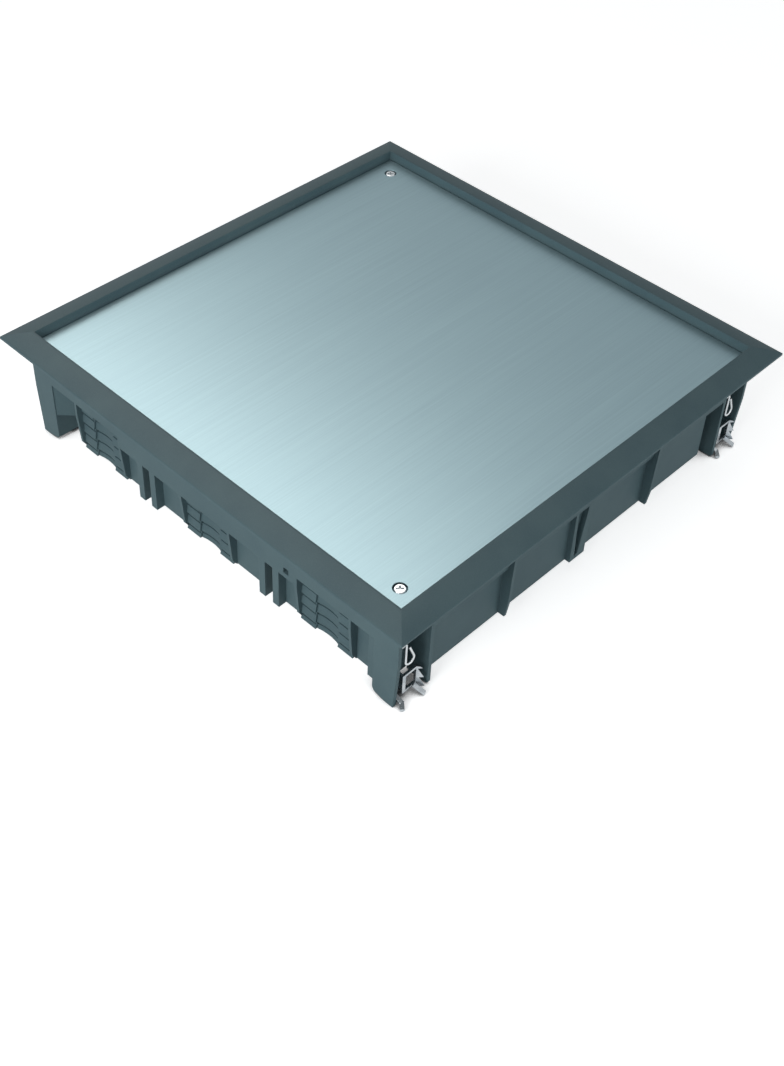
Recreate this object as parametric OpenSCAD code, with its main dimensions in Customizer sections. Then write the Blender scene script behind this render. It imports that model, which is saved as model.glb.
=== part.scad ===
// Square floor box cover: a moulded frame for a floor cut-out, a steel lid plate in it,
// and four screw-driven claws that clamp the frame to the floor from below.
// The part stands on its four corner legs, centred on the origin, with Z = 0 at the feet.

/* [Flange and rim] */
// Side of the square flange that lies on the floor
flange_w = 264; // [258:1:290]
// Thickness of the flange at its outer edge
edge_t = 1.5; // [1:0.1:2.5]
// Rounding of the flange's outer top edge
edge_round = 0.4; // [0.2:0.1:0.8]
// Distance from the flange's outer edge to the crest of the rim
crest_in = 10.9; // [10.2:0.1:12]
// Height of the crest above the flange's outer top edge
crest_rise = 3.05; // [2:0.05:4]
// Height that the sloped top bulges above a straight line
slope_bulge = 0.3; // [0:0.05:0.6]
// Width of the flat on the crest
crest_flat = 0.9; // [0.6:0.1:1.2]

/* [Lid] */
// Thickness of the steel lid plate
lid_t = 4; // [3:0.5:5]
// Gap between the lid plate and the rim on each side
lid_gap = 0.5; // [0.3:0.1:1]
// Depth of the lid's top below the crest
lid_recess = 4.8; // [4:0.1:6]
// Chamfer on the lid's top edges
lid_chamfer = 0.4; // [0.2:0.1:0.8]
// Width of the ledge that carries the lid
ledge_w = 12; // [11.8:0.1:14]
// Thickness of the ledge
ledge_t = 3; // [2:0.5:4]

/* [Body] */
// Distance from the flange's edge to the body's outer face
flange_reach = 9.6; // [9:0.1:10]
// Height of the legs from the feet to the flange's underside
leg_h = 55.5; // [52:0.5:60]
// Height of the walls' lower edge above the feet
wall_lift = 6.5; // [5:0.5:9]
// Thickness of the moulded walls
skin_t = 2.4; // [2:0.1:2.6]
// Depth of the toothed sides' wall behind the body's outer face
tooth_side_recess = 4.4; // [4.4:0.1:5]
// Depth of the plain sides' wall behind the body's outer face
plain_side_recess = 2.8; // [2.4:0.1:3.2]
// Height of the smooth band over the middle of a toothed side
band_mid_h = 26.8; // [24:0.2:28]
// Height of the smooth band at the niche end of a toothed side
band_niche_h = 20; // [18:0.5:22]
// Height of the smooth band at the closed end of a toothed side
band_end_h = 21.8; // [20:0.2:23]
// Height of the smooth band on a plain side
band_plain_h = 19; // [15:0.5:20]

/* [Toothed panels] */
// Length of one toothed panel between its two ribs
panel_l = 34; // [32:0.5:36]
// Place along the side of the panel beside the niche
panel_niche_y = 74; // [73:0.5:75]
// Place along the side of the middle panel
panel_mid_y = -2; // [-4:0.5:0]
// Place along the side of the panel at the closed end
panel_end_y = -78; // [-79:0.5:-76]
// Length of a panel's raised end part
panel_end_l = 8.7; // [7:0.1:10]
// Height of the raised end parts above the wall
panel_high = 1.7; // [1.4:0.1:2]
// Height of the middle part's edges above the wall
panel_low = 0.7; // [0.5:0.1:0.9]
// Radius of the hollow in the middle part
panel_hollow_r = 25.3; // [25:0.1:40]
// Spacing of the teeth
groove_pitch = 6.4; // [6.2:0.1:6.6]
// Height of the groove between two teeth
groove_h = 2; // [1.6:0.1:2.2]
// Depth of a groove behind the tips of the teeth
groove_d = 1.3; // [1:0.1:1.4]
// Height of the lowest groove's middle above the wall's lower edge
groove_low = 3; // [2.8:0.1:3.2]
// Thickness of the ribs
rib_t = 1.5; // [1.2:0.1:2]

/* [Prongs and gussets] */
// Place of the first pair of prongs along the side
prong_1_y = 38.6; // [37:0.1:40]
// Place of the second pair of prongs along the side
prong_2_y = -44.7; // [-46:0.1:-43]
// Width of one prong
prong_w = 3.9; // [3:0.1:5]
// Slot between the two prongs of a pair
prong_slot = 4.8; // [4:0.1:6]
// Place of the first gusset along a plain side
gusset_1_x = -54.6; // [-60:0.2:-50]
// Place of the second gusset along a plain side
gusset_2_x = 47.1; // [44:0.1:50]
// Distance that a gusset stands out of the body's outer face at its top
gusset_out = 3.3; // [2:0.1:4]
// Distance that a gusset stands out at its lower end
gusset_foot = 0.7; // [0:0.1:1.5]
// Place of the latch block along a plain side
latch_x = -3.95; // [-8:0.05:0]
// Width of the latch block
latch_w = 10.5; // [9:0.5:14]
// Height of the latch pocket's lowest point above the block's foot
latch_point = 2; // [1.5:0.1:3]
// Distance that the latch pocket's middle lies above its lowest point
latch_rise = 1; // [0.5:0.1:1.5]

/* [Corner pockets] */
// Distance from the leg's outer face to the middle of a claw
claw_side = 9.2; // [9.2:0.1:9.4]
// Distance from the claw's middle to the cheek in the front and far pockets
cheek_wide = 9.9; // [9.4:0.1:10.4]
// Distance from the claw's middle to the cheek in the right and left pockets
cheek_near = 7.9; // [7.8:0.1:8.4]
// Thickness of the pocket's inner cheek
cheek_t = 1.9; // [1.5:0.1:2.2]
// Width of a leg's outer face
leg_w = 14; // [13.9:0.1:14.6]
// Thickness of a leg's wall
leg_t = 1.8; // [1.6:0.1:1.9]
// Distance that a leg's corner edge leans in at its foot
leg_lean = 1.8; // [1:0.1:2.4]
// Width of a leg's flat foot
leg_toe = 4.5; // [3.5:0.1:5.5]
// Height of a leg's slanted foot
foot_slant = 1.6; // [1:0.1:2.5]
// Thickness of the pocket's back wall
back_t = 2; // [1.6:0.1:2.1]
// Height of the back wall's lower edge above the feet
back_lift = 2.5; // [2:0.1:4]
// Thickness of the pocket's roof
roof_t = 7.2; // [6.5:0.1:8]
// Length of the niche beside the leg on a toothed side
niche_l = 16.5; // [15:0.5:17]
// Length of the notch beside the cheek on a plain side
notch_l = 9.2; // [8:0.2:11]
// Height of the slanted web's lower edge above the feet
web_lift = 16.5; // [14:0.5:20]
// Depth that the slanted web reaches into the niche
web_in = 10; // [8:0.5:12]

/* [Lid screws] */
// Distance from the body's outer face to a lid screw's axis, both ways
lid_screw_in = 12.9; // [12.7:0.1:13]
// Radius of a lid screw's shank
lid_screw_r = 1.5; // [1.3:0.05:1.6]
// Radius of a lid screw's head
lid_head_r = 2.8; // [2.6:0.05:3]
// Height of a lid screw's head
lid_head_h = 1.9; // [1.5:0.1:2.2]
// Length of a lid screw under its head
lid_screw_l = 9; // [8:0.5:10]
// Gap around a lid screw's head in the plate
lid_head_gap = 0.45; // [0.3:0.05:0.6]
// Depth of a lid screw's head below the plate's top
lid_head_sunk = 0.2; // [0:0.05:0.4]
// Outer radius of a threaded insert
insert_r = 2.5; // [2.4:0.05:2.6]
// Length of a threaded insert
insert_l = 8; // [6:0.5:9]
// Wall of the boss around an insert
boss_wall = 1.6; // [1.4:0.1:1.8]

/* [Claws] */
// Travel of a claw up its screw
claw_travel = 15; // [14:0.5:16]
// Radius of a claw screw's shank
claw_screw_r = 2; // [1.8:0.05:2.1]
// Radius of a claw screw's head
claw_head_r = 3.2; // [3:0.05:3.3]
// Height of a claw screw's head
claw_head_h = 2.4; // [2:0.1:2.6]
// Gap between a claw screw's head and the lid plate
head_under_lid = 0.4; // [0.3:0.1:0.8]
// Height of a claw screw's tip above the feet
screw_tip = 0.6; // [0.4:0.1:0.8]
// Running gap around a screw's shank
run_gap = 0.05; // [0.03:0.01:0.08]
// Gap between a claw screw's head and the side of its recess
head_gap = 0.3; // [0.2:0.05:0.4]
// Thickness of the claw's sheet
claw_t = 1.2; // [1:0.1:1.2]
// Height of the claw's top edge above the feet
claw_top = 14.9; // [14.4:0.1:15.4]
// Distance from the body's outer face to the claw's plate
plate_in = 2; // [2:0.1:2.3]
// Distance from the claw's middle to the screw's axis
screw_left = 2.2; // [2:0.1:2.4]
// Distance from the claw's middle to the outer side of its stem
claw_left = 3.5; // [3.2:0.1:3.6]
// Distance from the claw's middle to the fold of its wing
claw_right = 4.8; // [4.6:0.1:5]
// Angle at which the wing stands out
wing_angle = 53; // [50:1:60]
// Distance that the ear reaches behind the claw's plate
ear_d = 1.6; // [1:0.1:1.8]
// Height of the ear
ear_h = 7.4; // [6:0.2:8]
// Spacing of the teeth on the wing
tooth_pitch = 5.6; // [5:0.1:5.8]
// Depth of the teeth on the wing
tooth_d = 1.3; // [0.8:0.1:1.4]
// Distance from the claw's middle to the highest tooth's tip
tooth_reach = 6.4; // [6.3:0.1:6.5]
// Distance that each tooth stands out further than the one above
tooth_flare = 0.4; // [0.2:0.05:0.4]
// Width of the window in the claw's plate
window_w = 6.1; // [5:0.1:6.2]
// Height of the bar over the window
window_bar = 1.2; // [1:0.1:2]
// Width of the claw's arms
arm_w = 2; // [1.6:0.1:2.2]
// Length of the right arm from the claw's plate to its tip
arm_l = 5.2; // [4:0.1:5.6]
// Distance that the arms' tips lie below the claw's foot
arm_drop = 2.9; // [2:0.1:3]
// Angle at which the right arm turns away from the screw
arm_angle = 24; // [15:1:28]
// Angle at which the left arm's tip turns away from the screw
tip_angle = 41; // [30:1:45]
// Length of the left arm's tip
tip_l = 3.2; // [2.4:0.1:3.4]
// Side of the square nut
nut_w = 6; // [5.6:0.1:6]
// Height of the square nut
nut_h = 2.9; // [2.6:0.1:3]
// Height of the nut's lower face above the feet
nut_low = 0.8; // [0.8:0.1:1.2]
// Radius of the spring's wire
wire_r = 0.6; // [0.5:0.05:0.7]
// Radius of the spring's loop
loop_r = 2.5; // [2.3:0.1:2.6]
// Height of the spring's upper end above the feet
spring_top = 37; // [36:0.5:38]
// Gap between the raised claw's arms and the spring's loop
loop_gap = 2.5; // [2:0.5:3.5]
// Distance from the body's outer face to the middle of the spring's wire
wire_in = 1.1; // [1.1:0.05:1.2]
// Distance from the claw's middle to the spring's upright leg
spring_side = 3.7; // [3.4:0.1:4]
// Angle at which the spring's free leg leans
spring_lean = 22; // [18:1:26]
// Length of the spring's free leg
spring_free_l = 8; // [6:0.5:9]
// Bend radius at the spring's upper end
spring_bend_r = 1.2; // [1:0.1:1.4]
// Depth of the spring's end in the pocket's side
socket_d = 1; // [0.6:0.1:1.2]

/* [Hidden] */
$fn = 64;
// Overlap that joins two shapes of one moulding or reaches through a cut
bite = 0.5;
slope_steps = 10;
flange_half = flange_w / 2;
body_half = flange_half - flange_reach;
rim_half = flange_half - crest_in - crest_flat;
edge_z = leg_h + edge_t;
crest_z = edge_z + crest_rise;
lid_w = 2 * (rim_half - lid_gap);
lid_top_z = crest_z - lid_recess;
lid_low_z = lid_top_z - lid_t;
ledge_low_z = lid_low_z - ledge_t;
lid_seat_z = lid_top_z - lid_head_h - lid_head_sunk;
head_seat_z = lid_low_z - head_under_lid - claw_head_h;
roof_z = lid_low_z - roof_t;
screw_xy = body_half - lid_screw_in;
// Gap between a claw and what it passes on its way up
pass_gap = 0.4;
claw_edge = leg_w - back_t - nut_w / 2 - pass_gap;
claw_y = body_half - claw_edge;
claw_x = body_half - claw_side;
leg_edge = body_half - leg_w;
back_y = leg_edge + back_t;
niche_start = leg_edge - niche_l;
band_mid_z = leg_h - band_mid_h;
groove_z = wall_lift + groove_low;
plate_y = plate_in - claw_edge;
foot_z = nut_low + nut_h;
arm_tip_z = foot_z - arm_drop;
arm_out = claw_side - leg_t - pass_gap;
spring_loop = foot_z + claw_t + claw_travel + loop_gap + loop_r + wire_r;
teeth = 3;

// Corners are counted front, right, far, left. The last two are the first two turned half round.
module at_corner(i) {
    turn = i >= 2 ? 180 : 0;
    side = i % 2 == 0 ? -1 : 1;
    rotate([0, 0, turn])
        translate([side * claw_x, -claw_y, 0])
            children();
}

module at_screw(i) {
    at_corner(i)
        translate([-screw_left, 0, 0])
            children();
}

module both_ends() {
    children();
    rotate([0, 0, 180])
        children();
}

// An outline in depth behind the body's outer face and height, run along a toothed side.
// The side is drawn facing -X, and its run goes from a to b along Y.
module tooth_side_run(a, b, outline) {
    translate([-body_half, b, 0])
        rotate([90, 0, 0])
            linear_extrude(height = b - a)
                polygon(outline);
}

// The same for a plain side, drawn facing -Y, from a to b along X.
module plain_side_run(a, b, outline) {
    translate([a, -body_half, 0])
        rotate([90, 0, 90])
            linear_extrude(height = b - a)
                polygon(outline);
}

// Section of a wall: a band in the outer face, a shelf, and the recessed wall below it.
function wall_outline(recess, band_h) = [
    [0, leg_h + bite],
    [0, leg_h - band_h],
    [recess, leg_h - band_h],
    [recess, wall_lift],
    [recess + skin_t, wall_lift],
    [recess + skin_t, leg_h - band_h + skin_t],
    [skin_t, leg_h - band_h + skin_t],
    [skin_t, leg_h + bite]
];

function band_outline(band_h) = [
    [0, leg_h + bite], [0, leg_h - band_h], [skin_t, leg_h - band_h], [skin_t, leg_h + bite]
];

function block_outline(front, back, low, high) = [
    [front, low], [back, low], [back, high], [front, high]
];

// Section of the flange, the rim and the lid's ledge.
function slope_point(t) = [
    flange_half - edge_round - (crest_in - edge_round) * t,
    edge_z + crest_rise * t + 4 * slope_bulge * t * (1 - t)
];
function rim_outline() = concat(
    [[flange_half, leg_h], [flange_half, edge_z - edge_round]],
    [for (i = [0:slope_steps]) slope_point(i / slope_steps)],
    [
        [rim_half, crest_z],
        [rim_half, lid_low_z],
        [rim_half - ledge_w, lid_low_z],
        [rim_half - ledge_w, lid_low_z - ledge_t],
        [body_half, lid_low_z - ledge_t],
        [body_half, leg_h]
    ]
);

module rim_side() {
    intersection() {
        rotate([90, 0, 0])
            linear_extrude(height = flange_w, center = true)
                polygon(rim_outline());
        linear_extrude(height = crest_z + bite)
            polygon([[0, 0], [flange_w, -flange_w], [flange_w, flange_w]]);
    }
}

// A rib tapers in to the wall at its foot.
function rib_outline(band_h) = [
    [0, leg_h - band_h + bite],
    [0, leg_h / 2],
    [tooth_side_recess / 3, groove_z + groove_h / 2],
    [tooth_side_recess - bite, wall_lift],
    [tooth_side_recess + bite, wall_lift],
    [tooth_side_recess + bite, leg_h - band_h + bite]
];

function gusset_outline() = [
    [-gusset_out, leg_h + bite],
    [-gusset_out * 0.6, leg_h * 0.28],
    [-gusset_foot, wall_lift],
    [plain_side_recess + bite, wall_lift],
    [plain_side_recess + bite, leg_h - band_plain_h + bite],
    [skin_t / 2, leg_h - band_plain_h + bite],
    [skin_t / 2, leg_h + bite]
];

// Front of a toothed wall from its lower edge up. Each tooth slopes out towards its lower tip,
// and a groove parts it from the next one down.
function teeth_below(high) = ceil((high - groove_h / 2 - groove_z) / groove_pitch);
function tooth_front(tip, high) = concat(
    [[tip, wall_lift]],
    [for (i = [0:teeth_below(high) - 1]) each [
        [tip + groove_d / 2, groove_z + i * groove_pitch - groove_h / 2],
        [tip + groove_d, groove_z + i * groove_pitch - groove_h / 2],
        [tip + groove_d, groove_z + i * groove_pitch + groove_h / 2],
        [tip, groove_z + i * groove_pitch + groove_h / 2]
    ]],
    [[tip + groove_d / 2, high]]
);

// One panel between two ribs: two raised ends and a hollow middle.
module toothed_panel(y, band_h) {
    low_end = y - panel_l / 2 + rib_t;
    high_end = y + panel_l / 2 - rib_t;
    back = tooth_side_recess + bite;
    top = leg_h - band_h;
    raised = concat(
        tooth_front(tooth_side_recess - panel_high, top),
        [[tooth_side_recess - panel_high, top + bite], [back, top + bite], [back, wall_lift]]
    );
    tooth_side_run(low_end - bite, low_end + panel_end_l, raised);
    tooth_side_run(high_end - panel_end_l, high_end + bite, raised);
    tooth_side_run(low_end + panel_end_l - bite, high_end - panel_end_l + bite,
        block_outline(tooth_side_recess - panel_low, back, wall_lift, top + bite));
    tooth_side_run(low_end - rib_t, low_end, rib_outline(band_h));
    tooth_side_run(high_end, high_end + rib_t, rib_outline(band_h));
}

// The hollow of a panel's middle, with teeth that follow its curve.
module panel_hollow(y, band_h) {
    half = panel_l / 2 - rib_t - panel_end_l;
    sag = panel_hollow_r - sqrt(pow(panel_hollow_r, 2) - pow(half, 2));
    axis_in = tooth_side_recess - panel_low + sag - panel_hollow_r;
    top = leg_h - band_h;
    intersection() {
        translate([-body_half + axis_in, y, 0])
            rotate_extrude($fn = 96)
                polygon(concat(
                    [[0, wall_lift - bite], [panel_hollow_r, wall_lift - bite]],
                    tooth_front(panel_hollow_r, top),
                    [[0, top]]
                ));
        tooth_side_run(y - half, y + half,
            block_outline(0, tooth_side_recess + skin_t, wall_lift - bite, top));
    }
}

module prong_pair(y) {
    for (s = [-1, 1]) {
        middle = y + s * (prong_slot + prong_w) / 2;
        tooth_side_run(middle - prong_w / 2, middle + prong_w / 2,
            block_outline(0, tooth_side_recess + bite, wall_lift, band_mid_z + bite));
    }
}

// The slot between two prongs goes through the wall behind them.
module prong_opening(y) {
    tooth_side_run(y - prong_slot / 2, y + prong_slot / 2,
        block_outline(tooth_side_recess - bite, tooth_side_recess + skin_t + bite,
            wall_lift - bite, band_mid_z - 1));
}

// Small square hole in the band beside the second pair of prongs.
module band_hole() {
    side = 3.2;
    beside = prong_2_y - prong_slot / 2 - prong_w - side;
    low = band_mid_z + skin_t + 0.2;
    tooth_side_run(beside - side, beside,
        block_outline(-bite, skin_t + bite, low, low + side));
}

// A toothed side, facing -X. Its niche end is towards +Y and its closed end towards -Y.
module toothed_side() {
    split_low = panel_end_y + panel_l / 2;
    split_high = panel_niche_y - panel_l / 2;
    strip_w = 4;
    difference() {
        union() {
            tooth_side_run(-back_y + bite, split_low, wall_outline(tooth_side_recess, band_end_h));
            tooth_side_run(split_low, split_high, wall_outline(tooth_side_recess, band_mid_h));
            tooth_side_run(split_high, niche_start, wall_outline(tooth_side_recess, band_niche_h));
            tooth_side_run(niche_start - bite, leg_edge + bite, band_outline(band_niche_h));
            toothed_panel(panel_niche_y, band_niche_h);
            toothed_panel(panel_mid_y, band_mid_h);
            toothed_panel(panel_end_y, band_end_h);
            tooth_side_run(-leg_edge - bite, -leg_edge + strip_w,
                block_outline(skin_t / 2, tooth_side_recess + bite, wall_lift, leg_h - band_end_h + bite));
        }
        panel_hollow(panel_niche_y, band_niche_h);
        panel_hollow(panel_mid_y, band_mid_h);
        panel_hollow(panel_end_y, band_end_h);
        prong_opening(prong_1_y);
        prong_opening(prong_2_y);
        band_hole();
    }
    prong_pair(prong_1_y);
    prong_pair(prong_2_y);
    niche();
}

// The niche beside the leg: a slanted web from the leg's edge and a wall behind the opening.
module niche() {
    web_start = 0.3;
    top = ledge_low_z + bite;
    translate([-body_half, leg_edge, web_lift])
        linear_extrude(height = top - web_lift)
            polygon([
                [web_start, web_start],
                [web_in, web_start - web_in],
                [web_in, -niche_l - rib_t],
                [web_in + skin_t, -niche_l - rib_t],
                [web_in + skin_t, skin_t - web_in],
                [web_start + skin_t * 1.4, web_start]
            ]);
    tooth_side_run(niche_start - rib_t, niche_start,
        block_outline(tooth_side_recess, web_in + skin_t, wall_lift, top));
}

// A plain side, facing -Y. Its notch is at the +X end.
module plain_side() {
    first = -claw_x + cheek_wide;
    cheek = claw_x - cheek_near - cheek_t;
    last = cheek - notch_l;
    top = ledge_low_z + bite;
    plain_side_run(first, last, wall_outline(plain_side_recess, band_plain_h));
    plain_side_run(last - bite, cheek + bite, band_outline(band_plain_h));
    for (x = [gusset_1_x, gusset_2_x])
        plain_side_run(x - rib_t / 2, x + rib_t / 2, gusset_outline());
    latch_block();
    plain_side_run(last - skin_t, last,
        block_outline(plain_side_recess, leg_w, wall_lift, top));
    plain_side_run(last - skin_t, cheek + bite,
        block_outline(leg_w - back_t, leg_w, wall_lift, top));
}

// Block with a pocket that narrows towards its foot.
module latch_block() {
    top = leg_h - band_plain_h;
    low = latch_x - latch_w / 2;
    difference() {
        plain_side_run(low, low + latch_w,
            block_outline(0, plain_side_recess + bite, wall_lift, top + bite));
        translate([low, -body_half + plain_side_recess, 0])
            rotate([90, 0, 0])
                linear_extrude(height = plain_side_recess + bite)
                    polygon([
                        [rib_t, top],
                        [latch_w - rib_t, top],
                        [latch_w / 2, wall_lift + latch_point + latch_rise],
                        [rib_t * 2, wall_lift + latch_point]
                    ]);
    }
}

// One corner's pocket, drawn at the front corner: leg, cheek, back wall and roof.
// The cheek's face lies at a distance from the claw's middle that is given.
module pocket(cheek_in) {
    cheek_at = claw_side + cheek_in;
    leg_foot = [
        [0, leg_h + bite],
        [0, leg_h / 2],
        [leg_lean, 0],
        [leg_lean + leg_toe, 0],
        [leg_w - 1, foot_slant],
        [leg_w, foot_slant + 2],
        [leg_w, leg_h + bite]
    ];
    cheek_foot = [
        [0, roof_z + bite], [0, foot_slant], [1, 1], [leg_w - back_t, 1], [leg_w, roof_z + bite]
    ];
    translate([-body_half, -body_half, 0]) {
        rotate([90, 0, 90])
            linear_extrude(height = leg_t)
                polygon(leg_foot);
        translate([cheek_at, 0, 0])
            rotate([90, 0, 90])
                linear_extrude(height = cheek_t)
                    polygon(cheek_foot);
        translate([leg_t / 2, leg_w - back_t, back_lift])
            cube([cheek_at + cheek_t - leg_t / 2, back_t, roof_z - back_lift + bite]);
        translate([0, 0, roof_z])
            cube([cheek_at + cheek_t, leg_w, roof_t]);
        translate([0, 0, roof_z])
            cube([cheek_at + cheek_t, skin_t, leg_h - roof_z + bite]);
        translate([0, 0, roof_z])
            cube([skin_t, leg_w, leg_h - roof_z + bite]);
    }
}

module lid_boss() {
    translate([-screw_xy, -screw_xy, lid_low_z - insert_l - boss_wall])
        cylinder(r = insert_r + boss_wall, h = insert_l + boss_wall);
}

module frame_cuts() {
    for (i = [0:3]) {
        at_screw(i)
            translate([0, 0, roof_z - bite])
                cylinder(r = claw_screw_r + run_gap, h = roof_t + 2 * bite);
        at_screw(i)
            translate([0, 0, head_seat_z])
                cylinder(r = claw_head_r + head_gap, h = lid_low_z - head_seat_z + bite);
        at_corner(i)
            translate([stub_start(i), -claw_edge + wire_in, spring_top])
                rotate([0, 90, 0])
                    cylinder(r = wire_r, h = socket_d + bite);
    }
    both_ends()
        translate([-screw_xy, -screw_xy, lid_low_z - insert_l])
            cylinder(r = insert_r, h = insert_l + bite);
}

module frame() {
    color("#3f474a")
        difference() {
            union() {
                for (turn = [0, 90, 180, 270])
                    rotate([0, 0, turn])
                        rim_side();
                both_ends() {
                    toothed_side();
                    plain_side();
                    pocket(cheek_wide);
                    mirror([1, 0, 0])
                        pocket(cheek_near);
                    lid_boss();
                }
            }
            frame_cuts();
        }
}

// Steel plate with chamfered top edges and a counterbored hole at two opposite corners.
module lid_plate() {
    color("#aeb8bd")
        difference() {
            translate([-lid_w / 2, -lid_w / 2, lid_low_z])
                cube([lid_w, lid_w, lid_t]);
            for (turn = [0, 90, 180, 270])
                rotate([0, 0, turn])
                    translate([lid_w / 2 + bite, 0, 0])
                        rotate([90, 0, 0])
                            linear_extrude(height = lid_w + 2 * bite, center = true)
                                polygon([
                                    [0, lid_top_z - lid_chamfer - bite],
                                    [0, lid_top_z + bite],
                                    [-lid_chamfer - 2 * bite, lid_top_z + bite]
                                ]);
            both_ends()
                translate([-screw_xy, -screw_xy, lid_low_z - bite]) {
                    cylinder(r = lid_screw_r + 3 * run_gap, h = lid_t);
                    translate([0, 0, lid_seat_z - lid_low_z + bite])
                        cylinder(r = lid_head_r + lid_head_gap, h = lid_t);
                }
        }
}

// Pan head with a cross recess, on a plain shank.
module cross_screw(shank_r, head_r, head_h, under_head, crown) {
    arm_w = head_r * 0.3;
    arm_l = head_r * 1.15;
    difference() {
        union() {
            translate([0, 0, -under_head])
                cylinder(r = shank_r, h = under_head + bite);
            cylinder(r = head_r, h = head_h - crown);
            translate([0, 0, head_h - crown])
                cylinder(r1 = head_r, r2 = head_r - crown, h = crown);
        }
        for (turn = [0, 90])
            rotate([0, 0, 45 + turn])
                translate([-arm_l / 2, -arm_w / 2, head_h * 0.45])
                    cube([arm_l, arm_w, head_h]);
    }
}

module lid_screw(i) {
    color("#dfe3e4")
        rotate([0, 0, i * 180])
            translate([-screw_xy, -screw_xy, lid_seat_z])
                cross_screw(lid_screw_r, lid_head_r, lid_head_h, lid_screw_l, 0.5);
}

module lid_insert(i) {
    color("#b8974f")
        rotate([0, 0, i * 180])
            translate([-screw_xy, -screw_xy, lid_low_z - insert_l])
                difference() {
                    cylinder(r = insert_r, h = insert_l);
                    translate([0, 0, -bite])
                        cylinder(r = lid_screw_r + run_gap, h = insert_l + 2 * bite);
                }
}

module claw_screw(i) {
    color("#dfe3e4")
        at_screw(i)
            translate([0, 0, head_seat_z])
                cross_screw(claw_screw_r, claw_head_r, claw_head_h, head_seat_z - screw_tip, 0.6);
}

// Square nut under the claw's foot.
module claw_nut(i) {
    color("#cfd4d6")
        at_screw(i)
            translate([0, 0, nut_low])
                difference() {
                    translate([-nut_w / 2, -nut_w / 2, 0])
                        cube([nut_w, nut_w, nut_h]);
                    translate([0, 0, -bite])
                        cylinder(r = claw_screw_r + run_gap, h = nut_h + 2 * bite);
                }
}

// Folded sheet claw: a plate that is all window but for its bars, a toothed wing folded outwards,
// an ear folded back, a foot on the nut and two arms. Drawn about its middle, facing -Y.
module claw(i) {
    window_side = 0.2;
    window_low = foot_z + claw_t;
    color("#d9dddf")
        at_corner(i) {
            difference() {
                intersection() {
                    translate([0, 0, arm_tip_z])
                        linear_extrude(height = claw_top - arm_tip_z)
                            polygon(claw_plan());
                    rotate([90, 0, 0])
                        linear_extrude(height = 4 * nut_w, center = true)
                            polygon(claw_front());
                }
                translate([claw_right - window_w - window_side, plate_y - bite, window_low])
                    cube([window_w, claw_t + 2 * bite, claw_top - window_bar - window_low]);
            }
            claw_ear();
            claw_foot();
            right_arm();
            left_arm();
        }
}

// The sheet's outline seen from above, from the stem to the wing's end. The wing is drawn longer
// than it is, and the front outline cuts its edge.
wing_l = 4;
fold = claw_t / 2;
function wing_point(along, across) = [
    claw_right + along * cos(wing_angle) + across * sin(wing_angle),
    plate_y - along * sin(wing_angle) + across * cos(wing_angle)
];
function claw_plan() = [
    [-claw_left, plate_y],
    [claw_right, plate_y],
    wing_point(wing_l, 0),
    wing_point(wing_l, claw_t),
    [claw_right + fold, plate_y + claw_t],
    [-claw_left, plate_y + claw_t]
];

// The sheet's outline seen from the front. The wing's teeth point down and stand out further
// towards the foot.
tooth_step = 0.7;
function claw_front() = concat(
    [
        [-claw_left, claw_top],
        [-claw_left, foot_z + fold],
        [-claw_left + fold, foot_z],
        [claw_right, foot_z]
    ],
    [for (i = [teeth - 1:-1:0]) each [
        [tooth_reach + i * tooth_flare - tooth_d, claw_top - i * tooth_pitch - 2 * tooth_step],
        [tooth_reach + i * tooth_flare, claw_top - i * tooth_pitch - tooth_step]
    ]],
    [[tooth_reach - tooth_d / 2, claw_top]]
);

// The ear is the stem's edge folded straight back. It narrows to nothing downwards.
module claw_ear() {
    translate([-claw_left, 0, 0])
        rotate([90, 0, 90])
            linear_extrude(height = claw_t)
                polygon([
                    [plate_y, claw_top],
                    [plate_y, claw_top - ear_h],
                    [plate_y + claw_t, claw_top - ear_h],
                    [plate_y + claw_t + ear_d, claw_top]
                ]);
}

// The foot runs back from the plate's lower bar and lies on the nut.
module claw_foot() {
    difference() {
        union() {
            translate([-claw_left + fold, plate_y, foot_z])
                cube([claw_left - fold + nut_w / 2 - screw_left, nut_w / 2 - plate_y, claw_t]);
            translate([-arm_out, -nut_w / 2, foot_z])
                cube([arm_out + nut_w / 2 - screw_left, nut_w, claw_t]);
        }
        translate([-screw_left, 0, foot_z - bite])
            cylinder(r = claw_screw_r + 5 * run_gap, h = claw_t + 2 * bite);
    }
}

// A flat strip that runs outwards and down, from one height of its underside to another.
module sloping_strip(length, from_z, to_z) {
    rotate([90, 0, 90])
        linear_extrude(height = arm_w)
            polygon([
                [fold, from_z],
                [fold, from_z + claw_t],
                [0, from_z + claw_t],
                [-length, to_z + claw_t],
                [-length, to_z],
                [0, from_z]
            ]);
}

module right_arm() {
    translate([claw_right - fold, plate_y, 0])
        rotate([0, 0, arm_angle])
            translate([-arm_w, 0, 0])
                sloping_strip(arm_l, foot_z, arm_tip_z);
}

// The left arm runs out beside the leg, and its tip turns away in front of the leg.
module left_arm() {
    straight = claw_edge + pass_gap - nut_w / 2;
    bend_z = foot_z - arm_drop * straight / (straight + tip_l);
    translate([-arm_out, -nut_w / 2, 0])
        sloping_strip(straight, foot_z, bend_z);
    translate([arm_w / 2 - arm_out, -nut_w / 2 - straight, 0])
        rotate([0, 0, -tip_angle])
            translate([-arm_w / 2, 0, 0])
                sloping_strip(tip_l, bend_z, arm_tip_z);
}

// The stub's end lies in the leg of a front or far pocket and in the cheek of the others.
function stub_start(i) = (i % 2 == 0 ? leg_t - claw_side : -cheek_near) - socket_d;

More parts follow.
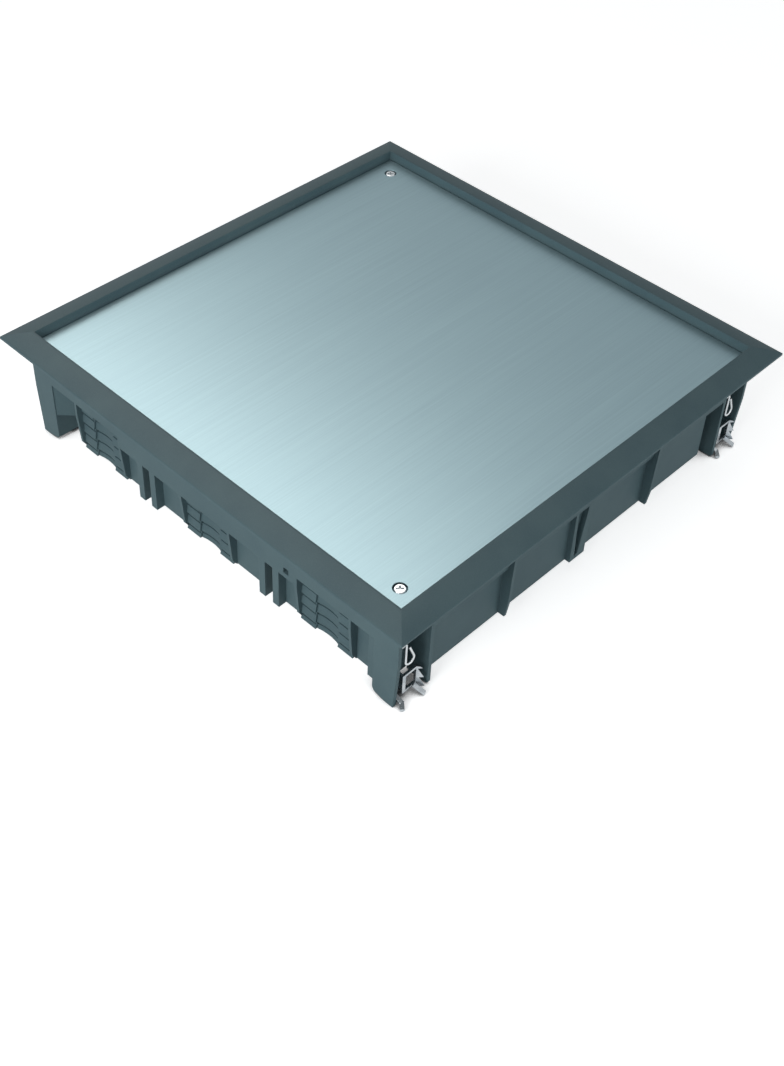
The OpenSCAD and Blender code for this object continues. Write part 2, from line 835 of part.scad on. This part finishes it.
// Straight wire between two heights, run a hair into the bends at its ends.
run_in = 0.04;
module wire_up(length, start_in, end_in) {
    translate([0, 0, -start_in])
        cylinder(r = wire_r, h = length + start_in + end_in, $fn = 24);
}

// A bend is a hair thinner than the straight wire, so that it ends inside it.
module wire_bend(bend_r, turn) {
    rotate_extrude(angle = turn, $fn = 64)
        translate([bend_r, 0])
            circle(r = wire_r - run_in / 2, $fn = 24);
}

// Wire hairpin: a stub in the pocket's side, a leg down, a loop and a slanted leg back up.
module claw_spring(i) {
    leg_top = spring_top - spring_bend_r;
    loop_x = loop_r - spring_side;
    stub_l = -spring_side - spring_bend_r - stub_start(i);
    color("#dfe3e4")
        at_corner(i)
            translate([0, wire_in - claw_edge, 0]) {
                translate([stub_start(i), 0, spring_top])
                    rotate([0, 90, 0])
                        wire_up(stub_l, 0, run_in);
                translate([-spring_side - spring_bend_r, 0, leg_top])
                    rotate([90, 0, 0])
                        wire_bend(spring_bend_r, 90);
                translate([-spring_side, 0, spring_loop])
                    wire_up(leg_top - spring_loop, run_in, run_in);
                translate([loop_x, 0, spring_loop])
                    rotate([90, 0, 0])
                        rotate([0, 0, 180])
                            wire_bend(loop_r, 180 + spring_lean);
                translate([
                    loop_x + loop_r * cos(spring_lean), 0, spring_loop + loop_r * sin(spring_lean)
                ])
                    rotate([0, -spring_lean, 0])
                        wire_up(spring_free_l, run_in, 0);
            }
}

frame();
lid_plate();
lid_screw(0);  // lid_screw_front
lid_screw(1);  // lid_screw_far
lid_insert(0);  // lid_insert_front
lid_insert(1);  // lid_insert_far
claw(0);  // claw_front
claw(1);  // claw_right
claw(2);  // claw_far
claw(3);  // claw_left
claw_screw(0);  // claw_screw_front
claw_screw(1);  // claw_screw_right
claw_screw(2);  // claw_screw_far
claw_screw(3);  // claw_screw_left
claw_nut(0);  // claw_nut_front
claw_nut(1);  // claw_nut_right
claw_nut(2);  // claw_nut_far
claw_nut(3);  // claw_nut_left
claw_spring(0);  // claw_spring_front
claw_spring(1);  // claw_spring_right
claw_spring(2);  // claw_spring_far
claw_spring(3);  // claw_spring_left
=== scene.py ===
import math

import bmesh
import bpy
from mathutils import Matrix, Vector


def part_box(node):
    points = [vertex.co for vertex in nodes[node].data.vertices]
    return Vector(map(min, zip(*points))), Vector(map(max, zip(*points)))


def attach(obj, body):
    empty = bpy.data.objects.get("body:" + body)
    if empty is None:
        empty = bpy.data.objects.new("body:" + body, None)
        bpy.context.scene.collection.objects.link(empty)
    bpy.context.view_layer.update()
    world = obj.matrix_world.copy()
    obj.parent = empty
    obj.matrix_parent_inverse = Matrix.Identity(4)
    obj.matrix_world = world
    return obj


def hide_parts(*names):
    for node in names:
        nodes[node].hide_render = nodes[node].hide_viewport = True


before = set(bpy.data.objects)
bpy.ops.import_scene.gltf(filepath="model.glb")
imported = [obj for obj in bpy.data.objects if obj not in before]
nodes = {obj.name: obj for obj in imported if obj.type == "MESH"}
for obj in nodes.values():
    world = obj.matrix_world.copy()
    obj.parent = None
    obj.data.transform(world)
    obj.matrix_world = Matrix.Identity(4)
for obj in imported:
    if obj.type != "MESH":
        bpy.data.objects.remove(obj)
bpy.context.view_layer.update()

scene = bpy.context.scene

CORNERS = ("front", "right", "far", "left")


# Shader sockets that add and multiply like numbers

class Value:
    def __init__(self, tree, socket):
        self.tree = tree
        self.socket = socket

    def maths(self, operation, *others, swap=False):
        node = self.tree.nodes.new("ShaderNodeMath")
        node.operation = operation
        terms = [self, *others]
        if swap:
            terms.reverse()
        for socket, term in zip(node.inputs, terms):
            feed(self.tree, socket, term)
        return Value(self.tree, node.outputs[0])

    def __add__(self, other):
        return self.maths("ADD", other)

    def __sub__(self, other):
        return self.maths("SUBTRACT", other)

    def __rsub__(self, other):
        return self.maths("SUBTRACT", other, swap=True)

    def __mul__(self, other):
        return self.maths("MULTIPLY", other)

    def __truediv__(self, other):
        return self.maths("DIVIDE", other)

    __radd__ = __add__
    __rmul__ = __mul__

    def clamped(self):
        return self.maths("MINIMUM", 1.0).maths("MAXIMUM", 0.0)

    def rising(self, low, high):
        """0 at the low value and below, 1 at the high value and above."""
        return ((self - low) / (high - low)).clamped()


def feed(tree, socket, term):
    if isinstance(term, Value):
        tree.links.new(term.socket, socket)
    else:
        socket.default_value = term


class Finish:
    """A material whose nodes are made by one method, with settings set before the sockets."""

    def __init__(self, name, **constants):
        self.material = bpy.data.materials.new(name)
        self.material.use_nodes = True
        self.tree = self.material.node_tree
        self.tree.nodes.clear()
        self.shader = self.tree.nodes.new("ShaderNodeBsdfPrincipled")
        out = self.tree.nodes.new("ShaderNodeOutputMaterial")
        self.tree.links.new(self.shader.outputs[0], out.inputs["Surface"])
        self.give(**constants)

    def node(self, kind, output=0, settings=(), **sockets):
        """A node's output. A socket is named, or numbered after an underscore."""
        made = self.tree.nodes.new(kind)
        for name, value in dict(settings).items():
            setattr(made, name, value)
        for name, value in sockets.items():
            key = int(name[1:]) if name[0] == "_" else name.replace("_", " ")
            feed(self.tree, made.inputs[key], value)
        return Value(self.tree, made.outputs[output])

    def place(self):
        return self.node("ShaderNodeTexCoord", output="Object")

    def spread(self, *scale):
        return self.node("ShaderNodeMapping", Vector=self.place(), Scale=scale)

    def noise(self, scale, detail=2.0, rough=0.5, where=None):
        return self.node("ShaderNodeTexNoise", Vector=where or self.place(), Scale=scale,
                         Detail=detail, Roughness=rough)

    def height(self):
        return self.node("ShaderNodeSeparateXYZ", output="Z", Vector=self.place())

    def blend(self, factor, first, second):
        return self.node("ShaderNodeMix", output=2, settings={"data_type": "RGBA"},
                         _0=factor, _6=first, _7=second)

    def relief(self, height, distance, strength, **under):
        return self.node("ShaderNodeBump", Height=height, Distance=distance, Strength=strength,
                         **under)

    def round_edges(self, radius):
        return self.node("ShaderNodeBevel", settings={"samples": 6}, Radius=radius)

    def give(self, **sockets):
        for name, value in sockets.items():
            feed(self.tree, self.shader.inputs[name.replace("_", " ")], value)
        return self.material


def rgb(*display):
    """A colour given in display values from 0 to 255."""
    def linear(c):
        return c / 12.92 if c <= 0.04045 else ((c + 0.055) / 1.055) ** 2.4
    return (*(linear(c / 255) for c in display), 1.0)


def frame_plastic():
    """Moulded slate plastic with a fine spark-eroded grain and a faint flow mottle."""
    f = Finish("moulded_slate_plastic", IOR=1.47, Specular_IOR_Level=0.13)
    grain = f.noise(2600.0, rough=0.6)
    mottle = f.noise(38.0, detail=3.0)
    colour = f.blend(mottle.rising(0.35, 0.65), rgb(80, 102, 108), rgb(87, 109, 114))
    colour = f.blend(grain.rising(0.42, 0.75) * 0.35, colour, rgb(100, 121, 127))
    normal = f.relief(grain, 0.00004, 0.45, Normal=f.round_edges(0.0003))
    return f.give(Base_Color=colour, Roughness=0.5 + grain * 0.1 + mottle * 0.06, Normal=normal)


def brushed_plate():
    """Brushed steel: long fine scratches along X and a soft waviness of the sheet."""
    f = Finish("brushed_lid_steel", Metallic=0.9, IOR=1.5)
    fine = f.noise(1.0, where=f.spread(16.0, 2400.0, 60.0))
    broad = f.noise(1.0, where=f.spread(9.0, 760.0, 20.0))
    cloud = f.noise(9.0)
    streak = fine * 0.75 + broad * 0.25
    colour = f.blend(streak.rising(0.3, 0.7), rgb(112, 134, 142), rgb(119, 142, 149))
    normal = f.relief(streak, 0.000007, 0.4, Normal=f.round_edges(0.00025))
    return f.give(Base_Color=colour, Roughness=0.35 + streak * 0.06 + cloud * 0.04, Normal=normal)


def zinc(name, bright, dull, rough):
    """Bright zinc plating with a faint grain and slightly duller patches."""
    f = Finish(name, Metallic=0.95)
    grain = f.noise(1500.0, rough=0.6)
    patch = f.noise(260.0, detail=3.0)
    colour = f.blend(patch.rising(0.38, 0.62), bright, dull)
    normal = f.relief(grain, 0.00001, 0.4, Normal=f.round_edges(0.00015))
    return f.give(Base_Color=colour, Roughness=rough + patch * 0.14, Normal=normal)


def turned_brass():
    """Turned brass with fine rings along its axis."""
    f = Finish("turned_brass", Metallic=1.0)
    rings = (f.height() * 21000.0).maths("SINE") * 0.5 + 0.5
    patch = f.noise(400.0)
    colour = f.blend(patch, rgb(205, 170, 98), rgb(184, 148, 80))
    return f.give(Base_Color=colour, Roughness=0.28 + patch * 0.12,
                  Normal=f.relief(rings, 0.00003, 0.4))


def drawn_wire():
    """Drawn spring wire, bright with fine lengthwise marks."""
    f = Finish("drawn_spring_wire", Metallic=1.0)
    marks = f.noise(1.0, where=f.spread(5000.0, 5000.0, 300.0))
    colour = f.blend(marks.rising(0.3, 0.7), rgb(182, 188, 191), rgb(208, 212, 214))
    return f.give(Base_Color=colour, Roughness=0.2 + marks * 0.12,
                  Normal=f.relief(marks, 0.00001, 0.4))


CLAW_ZINC = zinc("zinc_plated_sheet", rgb(186, 192, 196), rgb(166, 173, 178), 0.2)
SCREW_ZINC = zinc("zinc_plated_screw", rgb(190, 195, 198), rgb(172, 178, 182), 0.18)
BRASS = turned_brass()
WIRE = drawn_wire()

FINISHES = {"frame": frame_plastic(), "lid_plate": brushed_plate()}
for end in ("front", "far"):
    FINISHES["lid_screw_" + end] = SCREW_ZINC
    FINISHES["lid_insert_" + end] = BRASS
for corner in CORNERS:
    FINISHES["claw_" + corner] = CLAW_ZINC
    FINISHES["claw_screw_" + corner] = SCREW_ZINC
    FINISHES["claw_nut_" + corner] = SCREW_ZINC
    FINISHES["claw_spring_" + corner] = WIRE
for node, finish in FINISHES.items():
    slots = nodes[node].data.materials
    slots.clear()
    slots.append(finish)


# Claw screws with a real thread and a cross recess

PITCH = 0.0007
CORE_R = 0.00158
CREST_R = 0.00198
# One tooth from below: radius, and height as a share of the pitch
TOOTH = ((CORE_R, 0.0), (CORE_R, 0.12), (CREST_R, 0.46), (CREST_R, 0.6), (CORE_R, 0.94),
         (CORE_R, 1.0))
# Heights of the thread's ends, from the screw's end and down from the seat of its head
THREAD_FROM = 0.0008
THREAD_TO = 0.0085
TIP_H = 0.0016
TIP_CHAMFER_W = 0.0004
TIP_CHAMFER_H = 0.0005
NECK_L = 0.0092
NECK_LEAD_IN = 0.0003
NECK_FILLET = 0.0002
INTO_HEAD = 0.0004
HEAD_H = 0.0024
HEAD_CHAMFER = 0.0001
RIM_DROP = 0.0007
SHOULDER_DROP = 0.0003
FLAT_IN = 0.0009
# The recess's arms as shares of the head's radius
ARM_W = 0.3
ARM_L = 1.15
RECESS_DEPTH = 0.0013
SHARP_FROM = math.radians(35)
UPWARDS = 0.9
LEVEL = 1e-6
MERGE = 1e-7
THREAD_MERGE = 2e-6


def spun(bm, profile, steps=40):
    """A closed turned shape from (radius, height) points that start and end on the axis."""
    verts = [bm.verts.new((r, 0.0, z)) for r, z in profile]
    edges = [bm.edges.new(pair) for pair in zip(verts, verts[1:])]
    bmesh.ops.spin(bm, geom=verts + edges, cent=(0, 0, 0), axis=(0, 0, 1), dvec=(0, 0, 0),
                   angle=math.tau, steps=steps, use_merge=True, use_duplicate=False)


def thread(bm, low, high, steps=20):
    """A right-hand thread: one tooth's outline turned and raised a pitch each turn."""
    turns = int((high - low) / PITCH) - 1
    verts = [bm.verts.new((r, 0.0, low + share * PITCH)) for r, share in TOOTH]
    edges = [bm.edges.new(pair) for pair in zip(verts, verts[1:])]
    bmesh.ops.spin(bm, geom=verts + edges, cent=(0, 0, 0), axis=(0, 0, 1),
                   dvec=(0, 0, PITCH / steps), angle=math.tau * turns, steps=steps * turns)
    bmesh.ops.remove_doubles(bm, verts=bm.verts, dist=THREAD_MERGE)
    rims = [e for e in bm.edges if e.is_boundary]
    bmesh.ops.holes_fill(bm, edges=rims, sides=0)


def cross_recess(bm, top, arm_w, arm_l, depth):
    """A cross pressed into the flat on top of a head, turned an eighth of a turn."""
    turn = Matrix.Rotation(math.radians(45), 3, "Z")

    def on_top(face):
        return face.normal.z > UPWARDS and abs(face.calc_center_median().z - top) < LEVEL

    def in_cross(face):
        x, y = (abs(c) for c in (turn.transposed() @ face.calc_center_median()).xy)
        return min(x, y) < arm_w / 2 and max(x, y) < arm_l / 2

    for half in (arm_w / 2, arm_l / 2):
        for way in ((1, 0, 0), (-1, 0, 0), (0, 1, 0), (0, -1, 0)):
            way = turn @ Vector(way)
            caps = [f for f in bm.faces if on_top(f)]
            parts = caps + list({e for f in caps for e in (*f.verts, *f.edges)})
            bmesh.ops.bisect_plane(bm, geom=parts, dist=1e-8, plane_no=way,
                                   plane_co=way * half + Vector((0, 0, top)))
    floor = [f for f in bm.faces if on_top(f) and in_cross(f)]
    made = bmesh.ops.extrude_face_region(bm, geom=floor)
    bmesh.ops.delete(bm, geom=floor, context="FACES")
    sunk = [v for v in made["geom"] if isinstance(v, bmesh.types.BMVert)]
    bmesh.ops.translate(bm, verts=sunk, vec=(0, 0, -depth))


def screw_head(bm, seat, top, head_r):
    spun(bm, [(0.0, seat), (head_r - HEAD_CHAMFER, seat), (head_r, seat + HEAD_CHAMFER),
              (head_r, top - RIM_DROP), (head_r - SHOULDER_DROP, top - SHOULDER_DROP),
              (head_r - FLAT_IN, top), (0.0, top)])
    bmesh.ops.remove_doubles(bm, verts=bm.verts, dist=MERGE)
    bmesh.ops.recalc_face_normals(bm, faces=bm.faces)
    bm.normal_update()
    cross_recess(bm, top, head_r * ARM_W, head_r * ARM_L, RECESS_DEPTH)


def screw_shank(bm, end, seat):
    """The threaded length, the plain neck that runs a little into the head, and the tip."""
    thread(bm, end + THREAD_FROM, seat - THREAD_TO)
    spun(bm, [(0.0, seat - NECK_L - NECK_LEAD_IN), (CREST_R, seat - NECK_L),
              (CREST_R, seat - NECK_FILLET), (CREST_R + NECK_FILLET, seat),
              (0.0, seat + INTO_HEAD)])
    spun(bm, [(0.0, end), (CORE_R - TIP_CHAMFER_W, end), (CORE_R, end + TIP_CHAMFER_H),
              (CORE_R, end + TIP_H), (0.0, end + TIP_H)])


def claw_screw(corner):
    node = "claw_screw_" + corner
    low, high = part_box(node)
    bm = bmesh.new()
    screw_head(bm, high.z - HEAD_H, high.z, (high.x - low.x) / 2)
    shank = bmesh.new()
    screw_shank(shank, low.z, high.z - HEAD_H)
    loose = bpy.data.meshes.new("shank")
    shank.to_mesh(loose)
    shank.free()
    bm.from_mesh(loose)
    bpy.data.meshes.remove(loose)
    bmesh.ops.translate(bm, verts=bm.verts, vec=((low.x + high.x) / 2, (low.y + high.y) / 2, 0.0))
    bmesh.ops.remove_doubles(bm, verts=bm.verts, dist=MERGE)
    bmesh.ops.recalc_face_normals(bm, faces=bm.faces)
    mesh = bpy.data.meshes.new("threaded_" + node)
    bm.to_mesh(mesh)
    bm.free()
    mesh.materials.append(SCREW_ZINC)
    for face in mesh.polygons:
        face.use_smooth = True
    mesh.set_sharp_from_angle(angle=SHARP_FROM)
    piece = bpy.data.objects.new("threaded_" + node, mesh)
    scene.collection.objects.link(piece)
    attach(piece, "screw_" + corner)
    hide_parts(node)


for corner in CORNERS:
    claw_screw(corner)


# Floor, backdrop and light

SEES_WHITE = ("Is Camera Ray", "Is Glossy Ray", "Is Transmission Ray")
BLACK = (0.0, 0.0, 0.0, 1.0)
WHITE = (1.0, 1.0, 1.0, 1.0)
FILL = (0.92, 0.97, 1.0, 1.0)
FILL_STRENGTH = 0.22
FLOOR_HALF = 4.0
FLOOR_GLOW = 0.72
# Width of a gap where shade is painted onto the floor, and how much open sky gives the full
# painted shade or none
GAP_W = 0.016
PAINTED_SHADE_BELOW = 0.3
UNSHADED_ABOVE = 0.6


def stage_floor():
    """A pale floor with painted shade: its colour and glow darken only in gaps that are nearly
    closed in.
    """
    bm = bmesh.new()
    bmesh.ops.create_grid(bm, x_segments=2, y_segments=2, size=FLOOR_HALF)
    mesh = bpy.data.meshes.new("pale_floor")
    bm.to_mesh(mesh)
    bm.free()
    floor = bpy.data.objects.new("pale_floor", mesh)
    scene.collection.objects.link(floor)
    f = Finish("pale_floor", Roughness=0.95, Emission_Strength=FLOOR_GLOW)
    ways = [f.node("ShaderNodeLightPath", output=way) for way in SEES_WHITE]
    seen = (ways[0] + ways[1] + ways[2]).clamped()
    open_sky = f.node("ShaderNodeAmbientOcclusion", output=1, settings={"samples": 12},
                      Distance=GAP_W)
    light = open_sky.rising(PAINTED_SHADE_BELOW, UNSHADED_ABOVE)
    # Painted shade: the dark grey base colour and the dimmed glow fill nearly closed gaps under
    # the parts
    f.give(Base_Color=f.blend(light, rgb(70, 74, 78), rgb(240, 241, 241)),
           Emission_Color=f.blend(seen * light, BLACK, WHITE))
    mesh.materials.append(f.material)


def softbox(name, place, aim, size, power, colour=(1.0, 1.0, 1.0), sheen_only=False):
    """A lamp that shines from its place to its aim. A sheen shows only in reflections."""
    lamp = bpy.data.lights.new(name, "AREA")
    lamp.shape = "RECTANGLE"
    lamp.size, lamp.size_y = size
    lamp.energy = power
    lamp.color = colour
    holder = bpy.data.objects.new(name, lamp)
    scene.collection.objects.link(holder)
    holder.location = place
    holder.rotation_euler = (Vector(aim) - Vector(place)).to_track_quat("-Z", "Y").to_euler()
    holder.visible_diffuse = not sheen_only


def studio_world():
    """White where it is seen or mirrored, and a dim cool fill for everything else."""
    world = bpy.data.worlds.new("studio")
    scene.world = world
    world.use_nodes = True
    tree = world.node_tree
    tree.nodes.clear()
    rays = tree.nodes.new("ShaderNodeLightPath")
    mix = tree.nodes.new("ShaderNodeMixShader")
    out = tree.nodes.new("ShaderNodeOutputWorld")
    ways = [Value(tree, rays.outputs[way]) for way in SEES_WHITE]
    feed(tree, mix.inputs["Fac"], (ways[0] + ways[1] + ways[2]).clamped())
    for socket, colour, strength in ((1, FILL, FILL_STRENGTH), (2, WHITE, 1.0)):
        sky = tree.nodes.new("ShaderNodeBackground")
        feed(tree, sky.inputs["Color"], colour)
        feed(tree, sky.inputs["Strength"], strength)
        tree.links.new(sky.outputs[0], mix.inputs[socket])
    tree.links.new(mix.outputs[0], out.inputs["Surface"])


# The camera that was fitted to the frame's edges in the photograph. Lengths are in its pixels.
PHOTO_HEIGHT = 1066
FOCAL_LENGTH = 1491.544
CENTRE_ROW = 460.0
CAMERA_TURN = (-47.718, 42.628, 2.909)
CAMERA_PLACE = (-0.413127, -0.377691, 0.497520)


def photo_camera():
    azimuth, elevation, roll = (math.radians(a) for a in CAMERA_TURN)
    back = Vector((math.sin(azimuth) * math.cos(elevation),
                   -math.cos(azimuth) * math.cos(elevation), math.sin(elevation)))
    side = Vector((math.cos(azimuth), math.sin(azimuth), 0.0))
    up = back.cross(side)
    side_rolled = side * math.cos(roll) + up * math.sin(roll)
    up_rolled = up * math.cos(roll) - side * math.sin(roll)
    camera = bpy.data.cameras.new("photo_camera")
    camera.sensor_fit = "VERTICAL"
    camera.sensor_height = 36.0
    camera.lens = camera.sensor_height * FOCAL_LENGTH / PHOTO_HEIGHT
    camera.shift_y = (CENTRE_ROW - PHOTO_HEIGHT / 2) / PHOTO_HEIGHT
    camera.clip_start = 0.01
    holder = bpy.data.objects.new("photo_camera", camera)
    scene.collection.objects.link(holder)
    axes = Matrix((side_rolled, up_rolled, back)).transposed()
    holder.matrix_world = Matrix.Translation(CAMERA_PLACE) @ axes.to_4x4()
    scene.camera = holder


stage_floor()
studio_world()
photo_camera()
softbox("side_key", place=(-0.85, -0.12, 0.48), aim=(0, 0, 0.03), size=(0.5, 0.35), power=4.2)
softbox("front_low", place=(0.2, -1.0, 0.18), aim=(0, 0, 0.03), size=(0.7, 0.25), power=1.7)
softbox("sheen", place=(-0.02, 0.37, 0.5), aim=(-0.02, 0.37, 0.0), size=(0.46, 0.8), power=5.6,
        colour=(1.0, 0.9, 0.83), sheen_only=True)

scene.view_settings.view_transform = "Standard"
